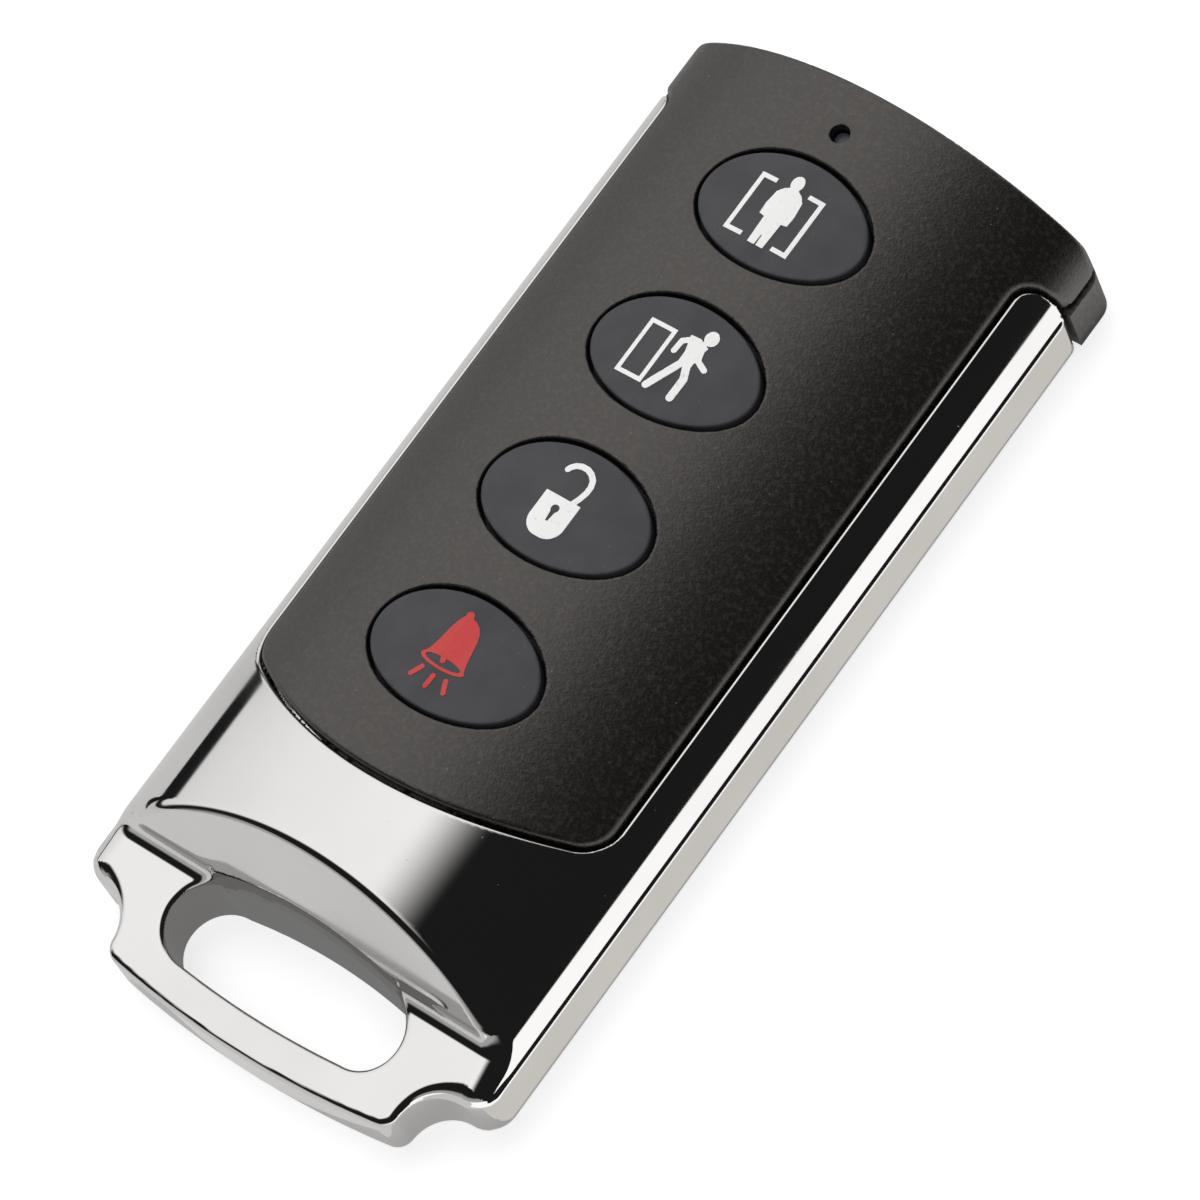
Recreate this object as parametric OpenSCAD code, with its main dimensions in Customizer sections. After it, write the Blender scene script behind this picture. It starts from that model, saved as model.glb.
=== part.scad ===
// Alarm key fob lying on its back: four oval keys in a crowned panel, set in a
// bright frame that ends in a key-ring loop.
// Origin: middle of the footprint, on the resting face. +X across the width,
// +Y towards the lamp end, +Z up through the keys. Millimetres.

/* [Body] */
// Overall width across the frame
body_width = 30.8; // [30:0.1:34]
// Height of the crown above the resting face
body_height = 11.6; // [11.2:0.1:13]
// Height of the waist line, where the side walls end
waist_height = 3.8; // [3.4:0.1:4.2]
// Rounding of the side walls' long edges
edge_round = 0.5; // [0.3:0.05:0.6]
// How far the frame's crown lies under the panel's crown
panel_proud = 0.2; // [0.1:0.05:0.3]

/* [Panel] */
// Width of each bright rail beside the panel
rail_width = 2.2; // [2:0.1:2.5]
// Drop of the panel's long edges below its crown
panel_drop = 4.5; // [4:0.1:5]
// Thickness of the panel shell
panel_wall = 1.5; // [1.3:0.1:1.6]
// Gap round the panel, to the frame
panel_gap = 0.3; // [0.2:0.05:0.4]
// Distance from the last key's middle to the panel's lower edge
panel_tail = 8.3; // [7.8:0.1:9.2]
// Height of the arc along the panel's lower edge
tail_sag = 3.9; // [3.5:0.1:4.4]
// Rounding of the panel's lower corners
tail_corner = 1.2; // [1:0.1:1.4]
// Length of the full-width ears at the lamp end
ear_length = 3.9; // [3.5:0.1:4.3]
// Fillet in the inner corner of each ear
ear_fillet = 1.3; // [0.9:0.1:1.5]
// Radius of the lamp end in plan
top_radius = 300; // [100:10:400]
// Rounding of the lamp end's corners in plan
top_corner = 1.4; // [1:0.1:1.8]

/* [Keys] */
// Distance between the middles of neighbouring keys
key_pitch = 11; // [10.4:0.1:12.4]
// Width of a key's oval opening
key_opening_w = 12; // [11:0.1:13]
// Length of a key's oval opening
key_opening_l = 8; // [7.4:0.1:8.6]
// Gap round each key
key_gap = 0.27; // [0.22:0.01:0.35]
// Radius of a key's top, across the width
key_top_radius = 28; // [24:1:40]
// Depth of a key's middle under the crown
key_recess = 0.15; // [0:0.05:0.3]
// Width of the flange that keeps a key under the panel
key_flange = 0.7; // [0.5:0.05:0.8]
// Travel of a key
key_travel = 0.4; // [0.25:0.05:0.45]

/* [Lamp] */
// Diameter of the lamp hole
lamp_hole = 1.2; // [1:0.05:1.4]
// Distance from the lamp hole to the lamp end
lamp_inset = 3.3; // [3.1:0.05:3.8]
// Distance from the lamp hole to the first key's middle
lamp_spacing = 6.1; // [5.7:0.1:6.8]

/* [Loop] */
// Length of bright crown between the panel and the end face
apron = 6; // [5.4:0.1:7]
// Height of the loop at its end
loop_height = 3.6; // [3.2:0.1:3.9]
// Rise of the loop's top per length, towards the body
loop_slope = 0.19; // [0.14:0.01:0.22]
// Radius of the scallop between the loop and each shoulder
scallop = 2.65; // [2.3:0.05:3]
// Width of the loop's arms beside the slot
arm_width = 2.3; // [2:0.1:2.6]
// Rounding of the body's shoulders in plan
shoulder_round = 1.8; // [1.5:0.1:2]
// Radius of the loop's end in plan
end_radius = 67; // [50:1:90]
// Rounding of the loop's two tips in plan
tip_round = 0.9; // [0.6:0.1:1]
// Lean of the body's end face, length per height
face_lean = 0.52; // [0.4:0.02:0.6]
// Height of the ledge at the foot of the end face
ledge_height = 6; // [5.7:0.1:6.5]
// Length of the slot's rounded ends
slot_length = 5.1; // [4.5:0.1:5.8]
// Distance from the loop's end to the slot
slot_inset = 2.3; // [2:0.1:2.7]
// Bulge of the slot's far wall towards the body
slot_bulge = 0.5; // [0.3:0.05:0.7]

/* [Inside] */
// Thickness of the back cover's floor
cover_floor = 1.2; // [1.1:0.05:1.35]
// Distance from the crown down to the circuit board's underside
board_drop = 6.6; // [6.4:0.05:6.8]
// Thickness of the circuit board
board_thick = 0.8; // [0.7:0.05:0.9]
// Diameter of the coin cell
cell_diameter = 20; // [18:0.1:20.5]
// Width of the keypad mat
mat_width = 14.4; // [13:0.1:16]

/* [Hidden] */
$fn = 96;
// Facets of the large circles, reach of the cutting bodies and how far cuts overshoot
fine = 180;
far = 100;
over = 1;
// Clearance of a fit, and how far two arcs cross where they meet
fit = 0.1;
cross = 0.05;
half_w = body_width / 2;
panel_half = half_w - rail_width;
// Crown across the width: one wide arc over the panel, then a tighter arc down to the waist
crown_inset = 0.23;
crown_radius = (pow(panel_half, 2) + pow(panel_drop, 2)) / (2 * panel_drop);
crown_z = body_height - crown_radius;
turn = [panel_half, crown_radius - panel_drop] / crown_radius;
fall = [panel_half - half_w + crown_inset, body_height - panel_drop - waist_height - fit];
side_round = (fall * fall) / (2 * turn * fall);
side_middle = [0, crown_z] + (crown_radius - side_round) * turn;
// Depths under the crown of the ledge that carries the panel's edge, and of the cavity under it
seat_gap = 0.2;
seat_thick = 1;
seat_width = 0.8;
seat_depth = panel_wall + seat_gap;
cavity_depth = seat_depth + seat_thick;
// The crown of the frame stops short of the side walls and leaves a waist line
waist_inset = 0.4;
// Line between the panel's ears and the back cover, and the lip that closes it
parting = 0.3;
lip_inset = 0.5;
// Wall round the lamp end, of the panel and of the cover
head_wall = 1.3;

// Loop end in plan, and the length that all the pieces in line add up to
tip_run = 0.1;
slot_bite = 0.2;
loop_half = half_w - shoulder_round - scallop;
slot_r = slot_length / 2;
slot_x = loop_half - arm_width - slot_r;
near_radius = end_radius - slot_inset;
near_rise = near_radius - sqrt(pow(near_radius, 2) - pow(slot_x, 2));
slot_far_radius = (pow(slot_x, 2) + pow(slot_bulge, 2)) / (2 * slot_bulge);
frame_apex = body_height - panel_proud;
face_run = face_lean * (frame_apex - ledge_height);
loop_reach = slot_inset + near_rise + slot_length + slot_bulge - slot_bite;
panel_reach = lamp_inset + lamp_spacing + 3 * key_pitch + panel_tail;
body_length = panel_reach + apron + face_run + loop_reach;

y_top = body_length / 2;
y_end = -body_length / 2;
lamp_y = y_top - lamp_inset;
key_y = [for (i = [0:3]) lamp_y - lamp_spacing - i * key_pitch];
tail_y = key_y[3] - panel_tail;
tail_radius = (pow(panel_half, 2) + pow(tail_sag, 2)) / (2 * tail_sag);
tail_middle = tail_y + tail_radius;
corner_x = panel_half - tail_corner;
corner_y = tail_middle - sqrt(pow(tail_radius - tail_corner, 2) - pow(corner_x, 2));
ear_y = y_top - ear_length;
rail_end = ear_y - panel_gap - cross;
tip_x = loop_half - tip_round;
tip_y = y_end + end_radius - sqrt(pow(end_radius, 2) - pow(tip_x, 2)) + tip_round - 2 * cross;
shoulder_y = tip_y + tip_run + scallop;
slot_y = y_end + slot_inset + near_rise + slot_r;
ledge_y = y_end + loop_reach;
face_y = ledge_y + face_run;

// Hollow of the frame, its shelf over the back cover and the cover's outline
end_wall = 1.6;
shelf_lap = 0.4;
cavity_end = face_y + end_wall;
shelf_half = panel_half - shelf_lap;
pocket_half = panel_half + shelf_lap;
pocket_round = 2;
cover_half = pocket_half - fit;

board_height = body_height - board_drop;
board_top = board_height + board_thick;
board_gap = 0.5;
board_round = 1.5;
board_half = panel_half - seat_width - 2 * board_gap;
board_tail = tail_y + seat_width + board_gap;
board_head = y_top - head_wall - board_gap;

// Screws that hold the board to the panel's bosses, and posts under the board
screw_rows = [(key_y[0] + key_y[1]) / 2, (key_y[2] + key_y[3]) / 2];
screw_r = 0.6;
screw_head_r = 1.3;
screw_head = 0.7;
screw_bite = 1.2;
boss_r = 1.4;
screw_x = board_half - boss_r;
post_r = 1;
post_shift = 2.5;
post_rows = [key_y[0] + post_shift, key_y[3] - post_shift];

// Lamp on the board, under a collared light pipe
lamp_size = [1.6, 0.8, 0.6];
pipe_r = lamp_hole / 2 - fit;
pipe_recess = 0.8;
pipe_boss = 0.5;
boss_drop = 0.7;
collar = 0.6;
collar_z = body_height - panel_wall - boss_drop;

// Screw that holds the back cover, in a boss of the frame
cover_screw_inset = 2.2;
cover_screw_y = cavity_end + cover_screw_inset;
cover_screw_r = 1;
cover_screw_top = ledge_height + over;
cover_head_r = 1.8;
cover_head_z = 0.15;
cover_sink = 0.7;
drive_width = 0.4;
frame_boss_r = 1.8;

// Stack from a key's stem down through its switch
plunger_r = 1;
plunger_rim = 0.5;
rim_thick = 0.3;
plunger_gap = 0.25;
switch_base = 0.2;
switch_lid = 0.3;
switch_plan = [5, 4];
switch_top = board_top + switch_base + key_travel + 2 * fit + rim_thick + switch_lid;
switch_leg = [0.9, 0.7, 0.25];
leg_spread = 1.2;
stem_r = 1.7;
stem_drop = 0.35;
stem_z = switch_top + key_travel + fit;
flange_z = stem_z + stem_drop;
flange_gap = 0.25;
flange_depth = panel_wall + flange_gap;
mat_thick = 0.8;
mat_reach = 3.6;
mat_round = 1.5;
mat_gap = 0.3;

// Parts under the board: a chip with legs, a crystal and rows of small chips
chip_size = [4, 5, 1.4];
chip_leg = [0.8, 0.5, 0.3];
chip_leg_pitch = 1.27;
chip_shift = 1;
crystal_size = [5, 4, 1.6];
crystal_round = 1.2;
crystal_at = [4, -3.4];
small_chip = [0.8, 1.6, 0.5];
small_pitch = 1.8;
small_row = 2.5;
small_column = 4.6;

// Copper track on the board, round the end of the mat
track = 0.7;
foil = 0.1;

// Coin cell between the two contacts
contact_thick = 0.3;
clip_width = 5;
clip_gap = 0.15;
leaf_size = [6, 10];
leaf_round = 1;
leaf_slit = [0.6, 7];
leaf_slit_x = 1.2;
cell_y = (key_y[1] + key_y[2]) / 2;
cell_z = cover_floor + contact_thick;
cell_height = board_height - contact_thick - cell_z;
cell_r = cell_diameter / 2;
cell_sheet = 0.4;
cell_crimp = 0.7;
cell_seam = 0.02;
can_drop = 0.3;
gasket_drop = 0.2;
gasket_out = cell_r - cell_crimp;
gasket_in = gasket_out - cell_sheet;

// A profile in X and Z, run along Y
module along_y(y0, y1) {
    translate([0, y1, 0])
        rotate([90, 0, 0])
            linear_extrude(height = y1 - y0) children();
}

// A profile in Y and Z, run along X
module along_x(width) {
    rotate([90, 0, 90])
        linear_extrude(height = width, center = true) children();
}

// Both sides of the mirror plane
module both_sides() {
    children();
    mirror([1, 0, 0]) children();
}

module box(size, at) {
    translate([at[0] - size[0] / 2, at[1] - size[1] / 2, at[2]]) cube(size);
}

module pin(r, z0, z1, at) {
    translate([at[0], at[1], z0]) cylinder(r = r, h = z1 - z0);
}

// Crown in section, at a depth under its surface
module crown_section(depth) {
    intersection() {
        translate([0, crown_z]) circle(r = crown_radius - depth, $fn = fine);
        square([2 * turn[0] * (crown_radius - depth), far], center = true);
    }
    both_sides() translate(side_middle) circle(r = side_round - depth + cross / 2, $fn = fine);
}

// Bar along the fob with the crown's section
module crown_bar(depth, y0 = -far, y1 = far) {
    along_y(y0, y1) crown_section(depth);
}

module slab(z0, z1) {
    translate([0, 0, z0]) linear_extrude(height = z1 - z0) children();
}

module oval(w, l) {
    scale([1, l / w]) circle(d = w);
}

module round_rect(w, y0, y1, r) {
    translate([-w / 2 + r, y0]) square([w - 2 * r, y1 - y0]);
    translate([-w / 2, y0 + r]) square([w, y1 - y0 - 2 * r]);
    for (x = [-1, 1], y = [y0 + r, y1 - r]) translate([x * (w / 2 - r), y]) circle(r = r);
}

// Lamp end in plan: full width, a flat arc across, two rounded corners
module head_outline(y0, inset = 0) {
    r = max(top_corner - inset, fit);
    x = half_w - inset - r;
    y = y_top - top_radius + sqrt(pow(top_radius - inset, 2) - pow(x, 2)) - r + cross;
    intersection() {
        translate([0, y_top - top_radius]) circle(r = top_radius - inset, $fn = fine);
        union() {
            translate([-half_w + inset, y0]) square([2 * (half_w - inset), y - y0]);
            translate([-x, y0]) square([2 * x, y_top + over - y0]);
            both_sides() translate([x, y]) circle(r = r);
        }
    }
}

// Points along an arc, from one angle to another
function arc(middle, r, a0, a1, steps = 8) =
    [for (i = [0:steps]) middle + r * [cos(a0 + (a1 - a0) * i / steps), sin(a0 + (a1 - a0) * i / steps)]];

// Panel between the rails in plan, with its arc below and its ears above
module panel_outline(grow = 0) {
    tail_turn = atan2(corner_y - tail_middle, corner_x);
    corner = arc([corner_x, corner_y], tail_corner + grow, tail_turn, 0);
    fillet = arc([panel_half + ear_fillet, ear_y - ear_fillet], ear_fillet - grow, 180, 90);
    ear_foot = [[panel_half + ear_fillet, ear_y + over / 2]];
    right = concat(corner, fillet, ear_foot);
    left = [for (i = [len(right) - 1:-1:0]) [-right[i][0], right[i][1]]];
    intersection() {
        translate([0, tail_middle]) circle(r = tail_radius + grow, $fn = fine);
        translate([-panel_half - over, tail_y - over])
            square([2 * (panel_half + over), corner[0][1] - tail_y + over]);
    }
    polygon(concat(right, left));
    head_outline(ear_y - grow);
}

// Frame in plan: rails, shoulders, scallops and the loop's end
module frame_outline() {
    translate([-half_w, shoulder_y + shoulder_round])
        square([2 * half_w, rail_end - shoulder_y - shoulder_round]);
    translate([-half_w + shoulder_round, shoulder_y])
        square([2 * (half_w - shoulder_round), shoulder_round + over]);
    both_sides() {
        translate([half_w - shoulder_round, shoulder_y + shoulder_round]) circle(r = shoulder_round);
        difference() {
            translate([loop_half - over, shoulder_y - scallop]) square([scallop + over, scallop + over]);
            translate([loop_half + scallop, shoulder_y - scallop]) circle(r = scallop);
        }
    }
    intersection() {
        translate([0, y_end + end_radius]) circle(r = end_radius, $fn = fine);
        union() {
            translate([-tip_x, y_end - over]) square([2 * tip_x, shoulder_y - y_end + 2 * over]);
            translate([-loop_half, tip_y]) square([2 * loop_half, shoulder_y + over - tip_y]);
            both_sides() translate([tip_x, tip_y]) circle(r = tip_round);
        }
    }
}

// Key-ring slot in plan: rounded ends, a near wall along the loop's end and an arched far wall
module slot_outline() {
    both_sides() translate([slot_x, slot_y]) circle(r = slot_r);
    intersection() {
        translate([-slot_x, y_end]) square([2 * slot_x, loop_reach + over]);
        translate([0, y_end + end_radius]) circle(r = near_radius, $fn = fine);
        translate([0, slot_y + slot_r + slot_bulge - slot_far_radius])
            circle(r = slot_far_radius, $fn = fine);
    }
}

// Frame across the width: side walls with rounded edges, and the crown above the waist
module frame_section() {
    translate([-half_w, edge_round]) square([2 * half_w, waist_height - 2 * edge_round]);
    translate([-half_w + edge_round, 0]) square([2 * (half_w - edge_round), waist_height]);
    both_sides() {
        translate([half_w - edge_round, edge_round]) circle(r = edge_round);
        translate([half_w - edge_round, waist_height - edge_round]) circle(r = edge_round);
    }
    intersection() {
        crown_section(panel_proud);
        translate([-half_w + waist_inset, edge_round]) square([2 * (half_w - waist_inset), body_height]);
    }
}

function loop_top(y) = loop_height + loop_slope * (y - y_end);
function face_at(z) = face_y - face_lean * (frame_apex - z);

// Frame along its length: sloping loop, cove, leaning end face, then the crown
module frame_profile() {
    top = body_height + over;
    cove_radius = (ledge_height - loop_top(ledge_y)) / (1 - loop_slope);
    cove_y = ledge_y + cross - cove_radius;
    polygon([[y_end - over, -over], [y_top, -over], [y_top, top], [face_at(top), top],
             [ledge_y, ledge_height], [ledge_y, loop_top(ledge_y)], [y_end - over, loop_top(y_end - over)]]);
    difference() {
        translate([cove_y, loop_top(cove_y) - cove_radius])
            square([cove_radius + cross, 2 * cove_radius]);
        translate([cove_y, loop_top(cove_y) + cove_radius - cross]) circle(r = cove_radius);
    }
}

module chrome_frame() {
    color("silver") {
        difference() {
            intersection() {
                along_y(y_end - over, y_top) frame_section();
                along_x(2 * (half_w + over)) frame_profile();
                slab(-over, body_height + over) frame_outline();
            }
            difference() {
                slab(cover_floor, far) panel_outline(panel_gap);
                crown_bar(seat_depth);
            }
            slab(cover_floor, far) panel_outline(-seat_width);
            intersection() {
                crown_bar(cavity_depth, cavity_end);
                box([2 * shelf_half, far, far], [0, 0, cover_floor]);
            }
            slab(-over, cover_floor) round_rect(2 * pocket_half, cavity_end, far, pocket_round);
            slab(-over, far) slot_outline();
        }
        difference() {
            intersection() {
                pin(frame_boss_r, cover_floor, far, [0, cover_screw_y]);
                crown_bar(seat_depth);
            }
            pin(cover_screw_r, 0, cover_screw_top + over, [0, cover_screw_y]);
        }
    }
}

module front_panel() {
    color([0.12, 0.11, 0.1])
        difference() {
            union() {
                difference() {
                    intersection() {
                        slab(waist_height + fit, far) panel_outline();
                        crown_bar(0);
                    }
                    intersection() {
                        crown_bar(panel_wall);
                        slab(-over, far) head_outline(-far, head_wall);
                    }
                }
                intersection() {
                    crown_bar(panel_wall / 2);
                    union() {
                        for (x = [-screw_x, screw_x], y = screw_rows) pin(boss_r, board_top, far, [x, y]);
                        pin(lamp_hole / 2 + pipe_boss, collar_z, far, [0, lamp_y]);
                    }
                }
            }
            for (y = key_y) translate([0, y]) slab(0, far) oval(key_opening_w, key_opening_l);
            pin(lamp_hole / 2, 0, far, [0, lamp_y]);
            for (x = [-screw_x, screw_x], y = screw_rows)
                pin(screw_r, 0, board_top + screw_bite + fit, [x, y]);
        }
}

module rear_cover() {
    color([0.15, 0.14, 0.13])
        difference() {
            union() {
                slab(0, cover_floor)
                    round_rect(2 * cover_half, cavity_end + fit, ear_y + pocket_round, pocket_round - fit);
                slab(0, cover_floor) head_outline(ear_y);
                difference() {
                    union() {
                        slab(0, waist_height - parting + fit) head_outline(ear_y);
                        slab(0, waist_height + fit) head_outline(ear_y + lip_inset, lip_inset);
                    }
                    slab(cover_floor, far) head_outline(-far, head_wall);
                }
                for (x = [-1, 1], y = post_rows)
                    pin(post_r, 0, board_height, [x * (board_half - post_r), y]);
            }
            pin(cover_screw_r + fit, -over, far, [0, cover_screw_y]);
            pin(cover_head_r + 2 * fit, -over, cover_sink, [0, cover_screw_y]);
        }
}

module cover_screw() {
    color("gainsboro")
        difference() {
            union() {
                pin(cover_head_r, cover_head_z, cover_sink, [0, cover_screw_y]);
                pin(cover_screw_r - cross, cover_head_z + drive_width, cover_screw_top, [0, cover_screw_y]);
            }
            for (a = [0, 90])
                translate([0, cover_screw_y, 0])
                    rotate([0, 0, a]) box([2 * cover_screw_r, drive_width, drive_width], [0, 0, 0]);
        }
}

module keypad_mat() {
    color([0.25, 0.25, 0.28])
        difference() {
            slab(board_top, board_top + mat_thick)
                round_rect(mat_width, key_y[3] - mat_reach, key_y[0] + mat_reach, mat_round);
            for (y = key_y)
                box([switch_plan[0] + 2 * (switch_leg[0] + mat_gap), switch_plan[1] + 2 * mat_gap, far],
                    [0, y, board_height]);
        }
}

// A key: oval top in the panel's opening, a flange under the panel, a stem over the switch
module key(y) {
    w = key_opening_w - 2 * key_gap;
    l = key_opening_l - 2 * key_gap;
    color([0.28, 0.28, 0.31])
        translate([0, y]) {
            intersection() {
                slab(flange_z, body_height + over) oval(w, l);
                along_y(-l, l)
                    translate([0, body_height - key_recess - key_top_radius])
                        circle(r = key_top_radius, $fn = fine);
            }
            intersection() {
                slab(flange_z, body_height) oval(w + 2 * key_flange, l + 2 * key_flange);
                crown_bar(flange_depth);
            }
            pin(stem_r, stem_z, flange_z + stem_drop, [0, 0]);
        }
}

module stay_button() key(key_y[0]);
module away_button() key(key_y[1]);
module disarm_button() key(key_y[2]);
module panic_button() key(key_y[3]);

module circuit_board() {
    color("darkgreen")
        difference() {
            slab(board_height, board_top)
                intersection() {
                    round_rect(2 * board_half, board_tail - over, board_head, board_round);
                    translate([0, tail_middle])
                        circle(r = tail_radius - seat_width - board_gap, $fn = fine);
                }
            for (x = [-screw_x, screw_x], y = screw_rows) pin(screw_r + fit, 0, far, [x, y]);
        }
}

// Tact switch: a case with four legs, hollow for its plunger
module switch_case(y) {
    color([0.2, 0.2, 0.2])
        difference() {
            union() {
                box([switch_plan[0], switch_plan[1], switch_top - board_top], [0, y, board_top]);
                for (x = [-1, 1], dy = [-leg_spread, leg_spread])
                    box(switch_leg, [x * (switch_plan[0] + switch_leg[0]) / 2, y + dy, board_top]);
            }
            pin(plunger_r + plunger_rim + plunger_gap, board_top + switch_base,
                switch_top - switch_lid, [0, y]);
            pin(plunger_r + plunger_gap, board_top + switch_base, far, [0, y]);
        }
}

module stay_switch() switch_case(key_y[0]);
module away_switch() switch_case(key_y[1]);
module disarm_switch() switch_case(key_y[2]);
module panic_switch() switch_case(key_y[3]);

// Plunger: a pin through the case's lid, kept by a rim
module plunger(y) {
    rim_top = switch_top - switch_lid - fit;
    color("ivory") {
        pin(plunger_r, rim_top - rim_thick / 2, switch_top + key_travel, [0, y]);
        pin(plunger_r + plunger_rim, rim_top - rim_thick, rim_top, [0, y]);
    }
}

module stay_plunger() plunger(key_y[0]);
module away_plunger() plunger(key_y[1]);
module disarm_plunger() plunger(key_y[2]);
module panic_plunger() plunger(key_y[3]);

module light_pipe() {
    color("lightsteelblue") {
        pin(pipe_r, board_top + lamp_size[2], body_height - pipe_recess, [0, lamp_y]);
        pin(pipe_r + collar, collar_z - collar, collar_z, [0, lamp_y]);
    }
}

module led_lamp() {
    color("lightyellow") box(lamp_size, [0, lamp_y, board_top]);
}

// Chip under the board, with a row of legs along each side
module transmitter_chip() {
    middle = key_y[0] + chip_shift;
    color([0.1, 0.1, 0.1]) {
        box(chip_size, [0, middle, board_height - chip_size[2]]);
        for (x = [-1, 1], i = [-1.5:1.5])
            box(chip_leg, [x * (chip_size[0] + chip_leg[0]) / 2, middle + i * chip_leg_pitch,
                           board_height - chip_leg[2]]);
    }
}

module crystal_can() {
    half = crystal_size[1] / 2;
    color("lightgray")
        slab(board_height - crystal_size[2], board_height)
            translate([crystal_at[0], key_y[3] + crystal_at[1]])
                round_rect(crystal_size[0], -half, half, crystal_round);
}

module chip_parts() {
    z = board_height - small_chip[2];
    foot = board_tail + 2 * small_pitch;
    color("tan") {
        for (x = [-1, 1], i = [0, 1], j = [0, 1])
            box(small_chip, [x * (small_column + i * small_pitch), key_y[0] + j * small_row, z]);
        for (i = [0:3])
            box([small_chip[1], small_chip[0], small_chip[2]], [-small_column, foot + i * small_pitch, z]);
    }
}

// Copper loop on the board, round the end of the mat
module antenna_loop() {
    inner = mat_width / 2 + board_gap;
    foot = screw_rows[0] + boss_r + board_gap;
    head = key_y[0] + mat_reach + mat_gap;
    color("goldenrod")
        slab(board_top, board_top + foil)
            difference() {
                translate([-inner - track, foot]) square([2 * (inner + track), head + track - foot]);
                translate([-inner, foot - over]) square([2 * inner, head + over - foot]);
            }
}

module cell_can() {
    color("silver")
        difference() {
            pin(cell_r, cell_z, cell_z + cell_height - can_drop, [0, cell_y]);
            pin(gasket_out + cell_seam, cell_z + cell_sheet, far, [0, cell_y]);
        }
}

module cell_gasket() {
    color("dimgray")
        difference() {
            pin(gasket_out, cell_z + cell_sheet, cell_z + cell_height - gasket_drop, [0, cell_y]);
            pin(gasket_in, 0, far, [0, cell_y]);
        }
}

module cell_cap() {
    color("lightgray")
        pin(gasket_in - cell_seam, cell_z + cell_sheet, cell_z + cell_height, [0, cell_y]);
}

// Strap under the cell, with an arm up each side to the board
module positive_clip() {
    reach = cell_r + clip_gap + contact_thick;
    color("lightgray") {
        box([2 * reach, clip_width, contact_thick], [0, cell_y, cover_floor]);
        for (x = [-1, 1])
            box([contact_thick, clip_width, board_height - cover_floor],
                [x * (reach - contact_thick / 2), cell_y, cover_floor]);
    }
}

// Leaf under the board that meets the cell's cap
module negative_leaf() {
    half = leaf_size[1] / 2;
    color("lightgray")
        difference() {
            slab(board_height - contact_thick, board_height)
                translate([0, cell_y]) round_rect(leaf_size[0], -half, half, leaf_round);
            for (x = [-leaf_slit_x, leaf_slit_x])
                box([leaf_slit[0], leaf_slit[1], over], [x, cell_y, board_height - over / 2]);
        }
}

module board_screws() {
    color("gainsboro")
        for (x = [-screw_x, screw_x], y = screw_rows) {
            pin(screw_head_r, board_height - screw_head, board_height, [x, y]);
            pin(screw_r - cross, board_height - screw_head / 2, board_top + screw_bite, [x, y]);
        }
}

front_panel();
chrome_frame();
rear_cover();
cover_screw();
keypad_mat();
stay_button();
away_button();
disarm_button();
panic_button();
circuit_board();
stay_switch();
away_switch();
disarm_switch();
panic_switch();
stay_plunger();
away_plunger();
disarm_plunger();
panic_plunger();
light_pipe();
led_lamp();
transmitter_chip();
crystal_can();
chip_parts();
antenna_loop();
cell_can();
cell_cap();
cell_gasket();
positive_clip();
negative_leaf();
board_screws();
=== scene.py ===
import math

import bpy
import numpy as np
from mathutils import Matrix, Vector


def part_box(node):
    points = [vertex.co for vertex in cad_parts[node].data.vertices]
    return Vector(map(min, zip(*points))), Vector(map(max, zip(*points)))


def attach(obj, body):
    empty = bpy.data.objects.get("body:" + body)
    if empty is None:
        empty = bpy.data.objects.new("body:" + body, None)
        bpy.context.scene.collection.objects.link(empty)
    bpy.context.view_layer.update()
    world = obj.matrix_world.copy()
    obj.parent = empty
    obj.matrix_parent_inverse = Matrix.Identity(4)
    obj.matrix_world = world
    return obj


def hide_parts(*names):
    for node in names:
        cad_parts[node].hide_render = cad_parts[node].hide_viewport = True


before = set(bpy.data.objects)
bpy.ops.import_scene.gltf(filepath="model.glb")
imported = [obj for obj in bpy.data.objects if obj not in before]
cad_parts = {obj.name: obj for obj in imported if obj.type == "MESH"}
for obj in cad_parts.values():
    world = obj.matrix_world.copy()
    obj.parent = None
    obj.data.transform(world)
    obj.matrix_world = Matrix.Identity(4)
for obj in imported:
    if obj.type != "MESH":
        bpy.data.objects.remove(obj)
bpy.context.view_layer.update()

# The fob lies on its back: x across it, y from the key-ring loop to the lamp end, z up
# Sizes in millimetres: those of the solids, with fine edges and gaps given here
MM = 0.001
HALF_WIDTH = 15.4
HEIGHT = 11.6
FIT = 0.1
SIDE_INSET = 0.23

# Front panel
PANEL_HALF = 13.2
PANEL_TRIM = 0.2
PANEL_DROP = 4.5
PANEL_WALL = 1.5
PANEL_GAP = 0.18
PANEL_EDGE = 0.28
TAIL_SAG = 3.9
TAIL_CORNER = 1.2
EAR_LENGTH = 3.9
EAR_FILLET = 1.8
EAR_CORNER = 1.2
TOP_RADIUS = 300.0
TOP_CORNER = 1.25
LEAST_CORNER = 0.1
HEAD_WALL = 1.3
LAMP_HOLE = 0.6
LAMP_HOLE_EDGE = 0.1

# Keys
KEYS = ("stay", "away", "disarm", "panic")
KEY_OPENING = (6.0, 4.0)
OPENING_EDGE = 0.16
KEY_GAP = 0.24
KEY_RECESS = 0.08
KEY_RADIUS = 28.0
KEY_EDGE = 0.13
KEY_FLANGE = 0.7
FLANGE_RISE = 0.35
FLANGE_DEPTH = 1.75
FLANGE_FILLET = 0.15
STEM_RADIUS = 1.7

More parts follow.
